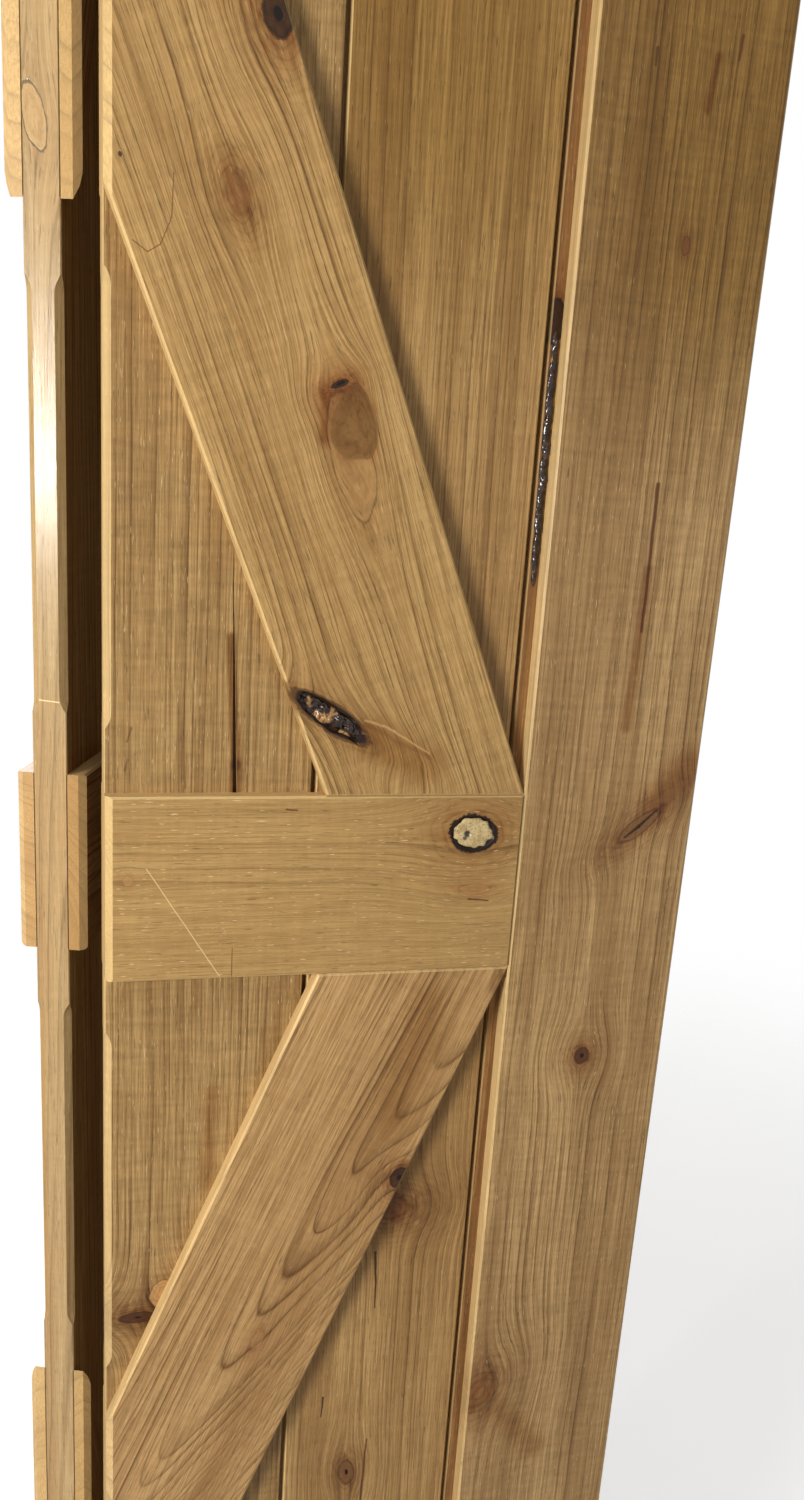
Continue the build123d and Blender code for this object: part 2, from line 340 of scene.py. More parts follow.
def awayFromFold(side):
    turn = math.radians(leaf["angle"])
    return Vector((math.cos(turn), math.sin(turn), 0)) if side == "left" else Vector((1, 0, 0))


def grainFrame(side, lean):   # origin and axes: along the grain, across it, and into the board
    outward = awayFromFold(side)
    foldX, foldY = leaf["fold"][0] - leaf["pin"][0], leaf["fold"][1] - leaf["pin"][1]
    origin = onLeaf(side, foldX, foldY, leaf["middle"])
    angle = math.radians(lean)
    up = Vector((0, 0, 1))
    grain = outward * math.cos(angle) + up * math.sin(angle)
    across = outward * math.sin(angle) - up * math.cos(angle)
    axes = Matrix((grain, across, grain.cross(across))).transposed()
    return origin, axes


def onGrain(place, lean):   # a place on the leaf (from the fold, above the mid rail's centre) in grain axes
    angle = math.radians(lean)
    u, z = place
    return (u * math.cos(angle) + z * math.sin(angle), u * math.sin(angle) - z * math.cos(angle), 0)


finish = {
    "pale": (192, 152, 98),
    "tan": (158, 118, 68),
    "warm": (146, 102, 56),
    "arris": (240, 208, 146),
    "roughness": 0.40,
    "specular": 0.18,
    "coat": 0.05,
    "coatRoughness": 0.25,
    "grainDepth": 0.00022,
}


def drawStroke(tree, stroke, lean, local, colour, height):
    start, end = Vector(onGrain(stroke["from"], lean)), Vector(onGrain(stroke["to"], lean))
    return useGroup(
        tree, strokeGroup, Colour=colour, Height=height, Point=local, From=start, Along=end - start,
        Start=stroke["width"][0], End=stroke["width"][1], Soft=stroke.get("soft", 0.5),
        Wander=stroke.get("wander", 3.0), Ink=tone(*stroke.get("ink", (45, 26, 14))),
        Soak=stroke.get("soak", 0.0), Amount=stroke.get("amount", 0.9), Sink=stroke.get("sink", 0.8),
    )


def newSurface(name):   # with its place read in object coordinates
    material = bpy.data.materials.new(name)
    material.use_nodes = True
    tree = material.node_tree
    place = addNode(tree, "ShaderNodeTexCoord").outputs["Object"]
    return material, tree, tree.nodes["Principled BSDF"], place


def roughen(tree, shader, height, strength, distance):
    bump = addNode(tree, "ShaderNodeBump")
    bump.inputs["Strength"].default_value = strength
    bump.inputs["Distance"].default_value = distance
    feed(tree, bump.inputs["Height"], height)
    feed(tree, shader.inputs["Normal"], bump.outputs[0])
    return bump.outputs[0]


def woodMaterial(name, side, look):
    material, tree, shader, place = newSurface(name + "_wood")
    lean = look["lean"]
    origin, axes = grainFrame(side, lean)
    broad = tuple(axes.col[2])
    if look.get("onEdge"):   # knots and strokes lie on the fold edge, measured along it and into the leaf
        axes = Matrix((axes.col[0], axes.col[2], -axes.col[1])).transposed()
    mapping = addNode(tree, "ShaderNodeMapping", vector_type="TEXTURE")
    feed(tree, mapping.inputs["Vector"], place)
    mapping.inputs["Location"].default_value = origin
    mapping.inputs["Rotation"].default_value = axes.to_euler("XYZ")
    mapping.inputs["Scale"].default_value = (mm, mm, mm)
    local = mapping.outputs[0]

    point, knots = local, []
    for knot in look.get("knots", []):
        centre = onGrain(knot["at"], lean)
        bent = useGroup(
            tree, knotBend, Point=point, Centre=centre, Size=(knot["size"][0], knot["size"][1], 1),
            Turn=math.radians(knot.get("turn", 0)), Spread=knot.get("spread", 2.6),
            Pull=knot.get("pull", 0.7),
        )
        point = bent["Point"]
        knots.append((knot, bent))

    spread = random.Random(name)
    seed = tuple(spread.uniform(0, 900) for axis in range(3))
    pith = look.get("pith", (0, spread.uniform(-60, 420), spread.uniform(30, 90)))
    wood = useGroup(
        tree, grainGroup, Point=point, Seed=seed, Pith=pith,
        Taper=look.get("taper", 0.03), Spacing=look.get("spacing", 8.0), Lines=look.get("lines", 0.8),
        Pale=tone(*look.get("pale", finish["pale"])), Tan=tone(*look.get("tan", finish["tan"])),
        Warm=tone(*look.get("warm", finish["warm"])), Warmth=look.get("warmth", 0.6),
        Figure=look.get("figure", 0.22), Drift=look.get("drift", 0.0),
        Flecks=look.get("flecks", 0.25),
    )
    colour, height = wood["Colour"], wood["Height"]
    for stroke in look.get("strokes", []):
        drawn = drawStroke(tree, stroke, lean, local, colour, height)
        colour, height = drawn["Colour"], drawn["Height"]
    for knot, bent in knots:
        drawn = useGroup(
            tree, knotPaint, Colour=colour, Height=height, Away=bent["Away"], Offset=bent["Offset"],
            Stain=tone(*knot.get("stain", (190, 140, 98))), Core=tone(*knot.get("core", (120, 78, 44))),
            Halo=knot.get("halo", 0.8), Reach=knot.get("reach", 0.8), Rim=knot.get("rim", 0.8),
            RimWidth=knot.get("rimWidth", 0.10), Fill=knot.get("fill", 0.85), Rings=knot.get("rings", 22),
            Hole=knot.get("hole", 0.0),
        )
        colour, height = drawn["Colour"], drawn["Height"]

    for stroke in look.get("marks", []):   # these lie over the knots
        drawn = drawStroke(tree, stroke, lean, local, colour, height)
        colour, height = drawn["Colour"], drawn["Height"]

    if look.get("onEdge"):   # behind the edge the board is plain, and toned like its neighbours
        plain = useGroup(
            tree, grainGroup, Point=local, Seed=seed, Pith=pith, Taper=0.03, Spacing=8.0, Lines=0.8,
            Pale=tone(*finish["pale"]), Tan=tone(*finish["tan"]), Warm=tone(*finish["warm"]), Warmth=0.6,
            Figure=0.22, Drift=0.0, Flecks=0.25,
        )
        back = ease(tree, calc(tree, "ABSOLUTE", split(tree, local)[2]), 5.2, 7.0)
        colour = mix(tree, back, colour, plain["Colour"])
        height = plus(tree, times(tree, height, minus(tree, 1, back)), times(tree, plain["Height"], back))

    # eased edges, sawn ends and chamfers show paler wood than the broad faces
    normal = addNode(tree, "ShaderNodeNewGeometry").outputs["True Normal"]
    facing = calc(tree, "ABSOLUTE", vec(tree, "DOT_PRODUCT", normal, broad))
    ending = calc(tree, "ABSOLUTE", vec(tree, "DOT_PRODUCT", normal, tuple(axes.col[0])))
    edge = ease(tree, facing, 0.80, 0.97, 1.0, 0.0)
    edge = times(tree, edge, look.get("edge", 0.55))
    for knot, bent in knots:
        if knot.get("sunk"):   # the walls of a hollow are bark dark, not pale
            edge = times(tree, edge, ease(tree, bent["Away"], 1.15, 1.5))
    colour = mix(tree, edge, colour, mix(tree, 0.55, colour, tone(*finish["arris"])))
    cut = ease(tree, ending, 0.90, 0.99, 0.0, 0.35)
    colour = mix(tree, cut, colour, tint(tree, colour, tone(196, 160, 120)))

    smear = noise(tree, local, (0.011, 0.02, 0.02), 3, 0.55)
    feed(tree, shader.inputs["Base Color"], colour)
    feed(tree, shader.inputs["Roughness"], plus(tree, finish["roughness"] - 0.06, times(tree, smear, 0.14)))
    relief = roughen(tree, shader, height, 0.55, finish["grainDepth"])
    shader.inputs["Specular IOR Level"].default_value = look.get("specular", finish["specular"])
    if "edgeCoat" in look:   # varnish on the edge only, broad faces left flat
        narrow = ease(tree, facing, 0.3, 0.5, 1.0, 0.0)
        feed(tree, shader.inputs["Coat Weight"], times(tree, narrow, look["edgeCoat"]))
        feed(tree, shader.inputs["Coat Normal"], relief)
    else:
        shader.inputs["Coat Weight"].default_value = look.get("coat", finish["coat"])
    shader.inputs["Coat Roughness"].default_value = look.get("coatRoughness", finish["coatRoughness"])
    return material


def dress(name, material):
    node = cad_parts[name]
    node.data.materials.clear()
    node.data.materials.append(material)


lower, upper = leaf["braceLean"], 180 - leaf["braceLean"]
defaultLean = {
    "fold_board": 90, "middle_board": 90, "outer_board": 90, "stile": 90, "top_rail": 0, "mid_rail": 0,
    "bottom_rail": 0, "upper_brace": upper, "lower_brace": lower,
}


def knotAt(at, size, **rest):
    return {"at": at, "size": size, **rest}


def streak(start, end, width, **rest):
    return {"from": start, "to": end, "width": width, **rest}


def stain(start, end, width, sink=0, **rest):   # soaks in, so the grain shows through; the broad soft bands on the stile and the middle board are painted shade
    return streak(start, end, width, soak=1.0, sink=sink, **rest)


def seam(start, end, width=0.2):
    return streak(start, end, (width, width), soft=0.4, wander=0.2)


pencilArc = [(43, 467), (42, 442), (35, 426), (27, 421), (18, 427)]

looks = {
    "right_fold_board": {
        "pale": (174, 141, 91), "tan": (140, 107, 63), "warm": (130, 96, 54), "warmth": 0.5, "lines": 1.0,
        "flecks": 0.4, "spacing": 7.5, "pith": (0, -220, 110), "taper": 0.0, "figure": 0.5,
        "knots": [
            knotAt((26, -369), (5, 15), pull=0.75, spread=6.0, halo=0.95, reach=3.2, stain=(158, 124, 92),
                   core=(70, 38, 20), rim=0.5, hole=0.2),
            knotAt((39, -350), (15, 8), turn=20, pull=0.5, spread=2.5, halo=0.3, core=(196, 152, 98),
                   rim=0.25, rimWidth=0.05, rings=30, fill=0.6),
        ],
        "strokes": [
            streak((19, 117), (16, 107), (0.3, 0.2), soft=0.9, amount=0.6, ink=(84, 54, 28)),
            streak((17, 94), (14.5, 86), (0.3, 0.2), soft=0.9, amount=0.6, ink=(84, 54, 28)),
            # a brown band darkens the wood along the split, widest at the bottom and narrowing upwards
            stain((94, 0), (94, 90), (2.4, 2.0), soft=4.5, wander=1.5, ink=(176, 146, 112), amount=0.9),
            stain((94, 90), (88, 182), (2.0, 0.8), soft=4.0, wander=1.5, ink=(176, 146, 112), amount=0.9),
            stain((82, -170), (80, -250), (0.5, 1.6), soft=9, wander=9, ink=(212, 186, 154), amount=0.6),
        ],
    },
    "right_middle_board": {
        "pale": (182, 146, 93), "tan": (144, 109, 64), "warm": (134, 98, 54), "warmth": 0.6, "lines": 0.85,
        "spacing": 6.5, "pith": (0, 40, 110), "taper": 0.01,
        "knots": [
            knotAt((211, -553), (13, 7), turn=-8, pull=0.8, spread=3.2, halo=0.8, reach=1.2,
                   stain=(168, 130, 94), core=(110, 72, 40), rim=0.4, hole=0.25, fill=0.7),
            knotAt((236, -288), (10, 16), pull=0.6, spread=3.0, halo=0.95, reach=1.8, stain=(158, 116, 78),
                   core=(120, 76, 42), rim=0.1, fill=0.4),
        ],
        "strokes": [
            # painted shade: this broad soft band darkens the top of the middle board, standing in for the
            # light falling off towards the top
            stain((210, 860), (222, 560), (90, 20), soft=230, wander=60, ink=(216, 208, 176), amount=0.9),
            streak((225, -329), (227, -384), (0.9, 0.2)),
            streak((186, -470), (185, -490), (0.8, 0.2)),
            streak((228, -520), (226, -600), (0.4, 1.1), ink=(90, 52, 28)),
        ],
    },
    "right_outer_board": {
        "pale": (156, 116, 70), "tan": (124, 86, 48), "warm": (108, 70, 36), "warmth": 0.8, "lines": 0.6,
        "spacing": 6.0, "pith": (0, 420, 90), "taper": 0.01,
        "knots": [
            knotAt((309, 404), (14, 7), pull=0.6, halo=0.8, core=(26, 15, 9), rim=0.9),
        ],
    },
    "right_front_stile": {
        "pale": (188, 153, 104), "tan": (148, 116, 72), "warm": (134, 100, 60), "warmth": 0.6, "lines": 0.9,
        "flecks": 0.5, "spacing": 6.0, "pith": (0, 580, 150), "taper": 0.004, "figure": 0.42,
        "knots": [
            knotAt((412, 44), (20, 6.5), turn=51, pull=0.35, spread=2.6, halo=0.85, reach=1.6,
                   stain=(178, 142, 106), core=(120, 84, 48), rim=0.35, rimWidth=0.13, rings=26, fill=0.85),
            knotAt((386, -151), (7.5, 6.5), pull=0.85, spread=4.2, halo=0.85, reach=1.2, core=(74, 42, 22),
                   rim=0.35, hole=0.3),
            knotAt((324, -474), (17, 11), turn=30, pull=0.9, spread=3.4, halo=0.95, reach=1.4,
                   stain=(178, 142, 106), core=(130, 86, 50), rim=0.1, rimWidth=0.06, fill=0.35, rings=12),
            knotAt((394, 457), (6, 3), pull=0.5, halo=0.7, core=(112, 72, 40), rim=0.3),
        ],
        "strokes": [
            # painted shade: this broad soft band darkens the top of the stile, standing in for the light
            # falling off towards the top
            stain((440, 860), (420, 470), (110, 20), soft=200, wander=70, ink=(196, 184, 146), amount=1.0),
            streak((394.5, 300), (395, 195), (0.9, 0.4), soft=1.4, ink=(84, 48, 24)),
            stain((394.5, 240), (391.5, 122), (0.8, 0.4), soft=6.0, ink=(200, 168, 132), amount=0.7,
                  sink=0.1),
            streak((357, 572), (357, 562), (0.8, 0.4), soft=0.8, ink=(84, 50, 26)),
            streak((418, 586), (417, 572), (0.8, 0.4), soft=0.9, ink=(84, 48, 26)),
            stain((402, 572), (398, 540), (0.8, 0.5), soft=4.0, ink=(196, 158, 118), amount=0.8, sink=0.1),
            streak((372, 512), (371, 488), (0.5, 0.2), soft=1.1, ink=(98, 62, 34), amount=0.6),
            streak((361, 462), (359, 438), (0.5, 0.2), soft=1.1, ink=(98, 62, 34), amount=0.6),
            stain((452, 92), (424, 62), (4, 3), soft=22, wander=12, ink=(196, 162, 124), amount=0.8),
            stain((345, -495), (382, -540), (1, 1), soft=20, wander=18, ink=(206, 178, 144), amount=0.6),
        ],
        "marks": [
            streak((401, 35), (412, 44), (0.2, 1.0), soft=0.9, wander=1.5, ink=(34, 19, 10)),
            streak((412, 44), (426, 57), (1.0, 0.2), soft=0.9, wander=1.5, ink=(34, 19, 10)),
            seam((314.6, 69), (314.6, -69)),
            streak((424, 62), (446, 78), (0.6, 0.6), soft=4.0, wander=5, ink=(120, 82, 46), amount=0.5,
                   sink=0),
        ],
    },
    "right_front_mid_rail": {
        "pale": (176, 142, 89), "tan": (156, 121, 72), "warm": (144, 108, 62), "warmth": 0.6, "lines": 0.55,
        "flecks": 0.8, "spacing": 6.5, "pith": (0, 60, 200), "taper": 0.01,
        "knots": [
            knotAt((275.5, 40), (17.9, 13.5), turn=5, pull=0.85, spread=2.9, halo=0.9, reach=1.1,
                   stain=(190, 154, 114), core=(22, 13, 8), rim=1.0, rimWidth=0.14, rings=9, fill=1.0,
                   sunk=True),
            knotAt((280, 6), (13, 6), pull=0.75, spread=3.5, halo=0.45, reach=0.8, core=(180, 134, 82),
                   rim=0.15, rimWidth=0.05, rings=18, fill=0.25),
            knotAt((16, 8), (4, 4), pull=0.4, halo=0.2, core=(184, 144, 90), rim=0.2, rimWidth=0.08,
                   fill=0.4),
        ],
        "strokes": [
            streak((29, 17), (84, -68), (0.15, 0.15), soft=0.4, wander=1.4, ink=(230, 198, 142),
                   amount=0.65, sink=0.3),
            streak((130, 60.5), (138, 59.5), (0.5, 0.3), ink=(96, 60, 32)),
            streak((276, -12), (292, -14), (0.5, 0.3), ink=(88, 52, 28)),
            streak((93, -46), (93, -69), (0.2, 0.2), soft=0.3, wander=0.3, ink=(112, 72, 40)),
        ],
        "marks": [   # dark seams where braces and stile butt against the rail
            seam((160, 69.6), (313, 69.6)),
            seam((160, -69.6), (313, -69.6), width=0.3),
            seam((314.0, 69), (314.0, -69)),
        ],
    },
    "right_front_upper_brace": {
        "pale": (188, 152, 97), "tan": (152, 117, 68), "warm": (138, 101, 56), "warmth": 0.5, "lines": 1.0,
        "spacing": 6.5, "pith": (0, 430, 120), "taper": 0.02, "figure": 0.34,
        "knots": [
            knotAt((83, 459), (12, 7), pull=0.6, spread=3.4, halo=0.85, reach=1.5, stain=(170, 130, 90),
                   core=(136, 94, 56), rim=0.05, fill=0.4, rings=8),
            knotAt((165.5, 306), (43, 14), turn=4, pull=0.85, spread=1.7, halo=0.3, reach=0.5,
                   core=(176, 138, 86), rim=0.35, rimWidth=0.035, rings=17, fill=0.35),
            knotAt((164, 327), (25, 9.5), turn=5, pull=0.5, spread=1.6, halo=0.35, reach=0.3,
                   core=(118, 84, 44), rim=0.0, rings=15, fill=0.85),
            knotAt((152, 351), (2.2, 2.6), pull=0.6, spread=8.0, halo=0.9, reach=3.6, core=(30, 18, 10),
                   rim=0.6, hole=0.6),
            knotAt((105, 560), (13, 9), pull=0.7, spread=3.5, halo=0.95, reach=1.8, stain=(164, 116, 74),
                   core=(30, 18, 10), rim=0.7, hole=0.35),
            knotAt((160, 128), (32, 9.2), turn=-36, pull=0.7, spread=2.2, halo=0.8, reach=0.5,
                   stain=(186, 150, 112), core=(40, 25, 15), rim=0.6, rimWidth=0.16, fill=1.0, sunk=True),
            knotAt((10, 474), (1.5, 1.2), pull=0.2, halo=0.2, core=(40, 24, 14), rim=0.4),
        ],
        "strokes": [   # first the pencil arc
            *[streak(start, end, (0.15, 0.15), soft=0.4, wander=1, ink=(110, 76, 42))
              for start, end in zip(pencilArc, pencilArc[1:])],
            stain((160, 343), (172, 338), (1.5, 2), soft=10, wander=10, ink=(190, 152, 110), amount=0.8),
            stain((146, 344), (147, 318), (0.8, 1.0), soft=9, wander=8, ink=(184, 144, 102), amount=0.8),
            stain((190, 114), (232, 94), (4, 6), soft=20, wander=16, ink=(206, 184, 152), amount=0.75),
            streak((186, 126), (208, 118), (0.3, 0.25), soft=1.0, wander=9, ink=(212, 176, 120),
                   amount=0.45, sink=-0.2),
            streak((208, 118), (236, 102), (0.25, 0.1), soft=1.0, wander=9, ink=(212, 176, 120), amount=0.4,
                   sink=-0.2),
            streak((186, 123), (238, 98), (0.4, 0.2), soft=2.4, wander=9, ink=(110, 72, 38), amount=0.45,
                   sink=0.2),
        ],
    },
    "right_front_lower_brace": {
        "pale": (194, 156, 104), "tan": (158, 120, 72), "warm": (134, 94, 52), "warmth": 0.45,
        "lines": 0.95, "spacing": 6.0, "pith": (0, 309, 26), "taper": -0.11, "drift": 0.178,
        "knots": [
            knotAt((236, -251), (9, 7), pull=0.8, spread=4.0, halo=0.95, reach=1.5, stain=(162, 116, 74),
                   core=(50, 30, 18), rim=0.7, hole=0.3),
            knotAt((123, -393), (9, 5), pull=0.4, spread=2.4, halo=0.5, reach=1.0, core=(176, 136, 86),
                   rim=0.1, fill=0.4),
        ],
        "strokes": [
            stain((252, -100), (226, -200), (3, 3), soft=24, wander=22, ink=(210, 192, 164), amount=0.6),
        ],
    },
    "left_fold_board": {
        "onEdge": True, "pale": (176, 148, 104), "tan": (152, 122, 80), "spacing": 5.0, "specular": 0.0,
        "edgeCoat": 0.8, "coatRoughness": 0.19, "lines": 0.7, "edge": 0.2, "pith": (0, -40, -26),
        "taper": 0.02,
        "knots": [
            knotAt((-22.3, 507.6), (20.5, 7.6), turn=12, pull=0.8, spread=2.4, halo=0.35, reach=1.0,
                   core=(196, 160, 108), rim=0.75, rimWidth=0.06, rings=9, fill=0.5),
        ],
        "strokes": [   # first the seams beside the planted ends
            *[streak((deep, start), (deep, end), (0.2, 0.2), soft=0.5, wander=0.3)
              for start, end in ((461, 836), (69, -69), (-461, -836)) for deep in (-14.0, -39.0)],
            streak((-19, 125), (-34, 124), (0.25, 0.2), soft=0.4, wander=0.6, ink=(236, 212, 160),
                   amount=0.8, sink=0.2),
        ],
    },
}

woods = {}
for name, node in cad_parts.items():
    if "hinge" in name:
        continue
    side = name.split("_")[0]
    kind = name.replace("left_", "").replace("right_", "").replace("front_", "").replace("back_", "")
    look = dict(looks.get(name, {}))
    if name.startswith("left_back"):   # faces into the fold; the darker pale and tan tones are painted shade for the shaded inside of the fold
        look.update(specular=0.0, coat=0.0, pale=(166, 127, 79), tan=(136, 98, 56))
    look["lean"] = defaultLean[kind]
    if side == "left" and "brace" in kind:   # the braces run on across the fold
        look["lean"] = 180 - look["lean"]
    woods[name] = woodMaterial(name, side, look)
    dress(name, woods[name])
print("wood dressed")


def takeUp(piece):   # the one piece that the next operators work on
    bpy.ops.object.select_all(action="DESELECT")
    bpy.context.view_layer.objects.active = piece
    piece.select_set(True)


def layOn(piece, place, turn, depth):   # onto the right leaf's front, its own Y turned up from the width
    angle = math.radians(turn)
    along = Vector((math.cos(angle), 0, math.sin(angle)))
    outward = Vector((0, -1, 0))
    axes = Matrix((along.cross(outward), along, outward)).transposed().to_4x4()
    spot = Vector((leaf["fold"][0] + place[0], leaf["fold"][1] + depth, leaf["middle"] + place[1])) * mm
    piece.data.transform(Matrix.Translation(spot) @ axes)


def carve(nodeName, hollow):   # the CAD board with a rough hollow worked into its face
    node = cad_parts[nodeName]
    piece = bpy.data.objects.new(nodeName + "_carved", node.data.copy())
    bpy.context.collection.objects.link(piece)
    piece.data.transform(node.matrix_world)
    takeUp(piece)
    bpy.ops.mesh.customdata_custom_splitnormals_clear()
    bpy.ops.object.mode_set(mode="EDIT")
    bpy.ops.mesh.select_all(action="SELECT")
    bpy.ops.mesh.remove_doubles(threshold=0.000002)
    bpy.ops.object.mode_set(mode="OBJECT")
    piece.select_set(False)
    bpy.ops.mesh.primitive_ico_sphere_add(subdivisions=5, radius=1, location=(0, 0, 0))
    cutter = bpy.context.object
    for vertex in cutter.data.vertices:
        spot = vertex.co
        rough = 1 + hollow["rough"] * bumps.noise(Vector((spot.x * 2.1, spot.y * 3.4, hollow["seed"])))
        vertex.co = Vector((spot.x * hollow["size"][1] * rough, spot.y * hollow["size"][0] * rough,
                            spot.z * hollow["deep"])) * mm
    layOn(cutter, hollow["at"], hollow["turn"], 0)
    cut = piece.modifiers.new("hollow", "BOOLEAN")
    cut.object = cutter
    cut.solver = "EXACT"
    takeUp(piece)
    bpy.ops.object.modifier_apply(modifier=cut.name)
    bpy.ops.object.shade_smooth_by_angle(angle=math.radians(28))
    bpy.data.objects.remove(cutter, do_unlink=True)
    piece.data.materials.clear()
    piece.data.materials.append(woods[nodeName])
    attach(piece, "root")
    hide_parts(nodeName)
    print(nodeName, "carved,", len(piece.data.polygons), "faces")


barkLook = {"dark": (24, 14, 9), "brown": (58, 36, 22), "tan": (176, 136, 88), "shade": (132, 94, 54)}


def makeBarkMaterial(name, tanShare, coat):
    material, tree, shader, local = newSurface(name)
    lumps = noise(tree, local, (260, 260, 260), 4, 0.6)
    patch = noise(tree, local, (70, 70, 70), 2, 0.5)
    colour = mix(tree, ease(tree, lumps, 0.40, 0.66), tone(*barkLook["dark"]), tone(*barkLook["brown"]))
    tan = mix(tree, ease(tree, lumps, 0.3, 0.7), tone(*barkLook["tan"]), tone(*barkLook["shade"]))
    colour = mix(tree, ease(tree, patch, 0.62 - tanShare, 0.68 - tanShare), colour, tan)
    feed(tree, shader.inputs["Base Color"], colour)
    feed(tree, shader.inputs["Roughness"], ease(tree, lumps, 0.3, 0.7, 0.12, 0.34))
    roughen(tree, shader, lumps, 0.7, 0.0006)
    shader.inputs["Coat Weight"].default_value = coat
    shader.inputs["Coat Roughness"].default_value = 0.10
    shader.inputs["Specular IOR Level"].default_value = 0.15
    return material


def makeBark(name, shape, material):   # a lumpy skin that tapers at both ends, thickened to a solid
    bpy.ops.object.select_all(action="DESELECT")
    columns, rows = shape["cells"]
    bpy.ops.mesh.primitive_grid_add(x_subdivisions=columns, y_subdivisions=rows, size=2, location=(0, 0, 0))
    piece = bpy.context.object
    bpy.ops.object.mode_set(mode="EDIT")
    bpy.ops.mesh.select_all(action="SELECT")
    bpy.ops.mesh.extrude_region_move(TRANSFORM_OT_translate={"value": (0, 0, 1)})
    bpy.ops.object.mode_set(mode="OBJECT")
    halfLength, halfWidth = shape["size"]
    for vertex in piece.data.vertices:
        across, along, top = vertex.co.x, vertex.co.y, vertex.co.z
        narrow = (1 - abs(along) ** shape["blunt"]) ** 0.5 if abs(along) < 1 else 0
        edge = 1 + shape["ragged"] * bumps.noise(Vector((across, along * halfLength / 9, shape["seed"])))
        crest = Vector((across * halfWidth / 5, along * halfLength / 5, shape["seed"] + 7))
        wave = bumps.fractal(crest, 1.0, 2.0, 4)
        crown = (1 - across * across) ** 0.5 if abs(across) < 1 else 0
        rise = -shape["root"]
        if top > 0.5:
            rise = shape["rise"] * crown * (0.62 + 0.6 * wave) * (0.35 + 0.65 * narrow)
            rise = min(rise, shape["limit"])
        reach = halfWidth * (0.12 + 0.88 * narrow) * min(edge, 1.0)
        vertex.co = Vector((across * reach, along * halfLength, rise)) * mm
    bpy.ops.object.mode_set(mode="EDIT")
    bpy.ops.mesh.select_all(action="SELECT")
    bpy.ops.mesh.normals_make_consistent(inside=False)
    bpy.ops.object.mode_set(mode="OBJECT")
    bpy.ops.object.shade_smooth_by_angle(angle=math.radians(50))
    piece.name = name
    layOn(piece, shape["at"], shape["turn"], shape["depth"])
    piece.data.materials.append(material)
    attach(piece, "root")


pocket = {"at": (160, 128), "size": (31, 8.5), "turn": -32, "deep": 4.5, "rough": 0.35, "seed": 3.1}
carve("right_front_upper_brace", pocket)
makeBark("bark_pocket", {
    "cells": (26, 90), "size": (29, 7.6), "at": (160, 128), "turn": -32, "depth": 3.6, "rise": 4.6,
    "root": 0.6, "limit": 3.5, "blunt": 2.0, "ragged": 0.5, "seed": 12.0, "slot": "frame_wood",
}, makeBarkMaterial("pocketBark", 0.07, 0.35))
makeBark("bark_strip", {
    "cells": (12, 200), "size": (87, 3.2), "at": (310.4, 311), "turn": 90, "depth": 13.5, "rise": 2.6,
    "root": 0.4, "limit": 3.0, "blunt": 6.0, "ragged": 0.7, "seed": 31.0, "slot": "board_wood",
}, makeBarkMaterial("stripBark", -0.05, 0.65))

knotSeat = {"at": (275.5, 40), "size": (18.2, 13.8), "turn": -5, "deep": 4.0, "rough": 0.12, "seed": 8.4}
carve("right_front_mid_rail", knotSeat)

plug = {
    "at": (275.8, 40.4), "size": (15.6, 11.3), "turn": -5, "depth": 0.30, "thick": 3.0, "seed": 5.0,
    "hole": (-4.6, 1.0), "holeSize": 2.8, "holeDeep": 1.9, "insets": [0.06] + [0.07] * 11,
    "pale": (196, 172, 120), "tan": (168, 141, 90), "grit": (112, 86, 48), "dark": (30, 19, 10),
}


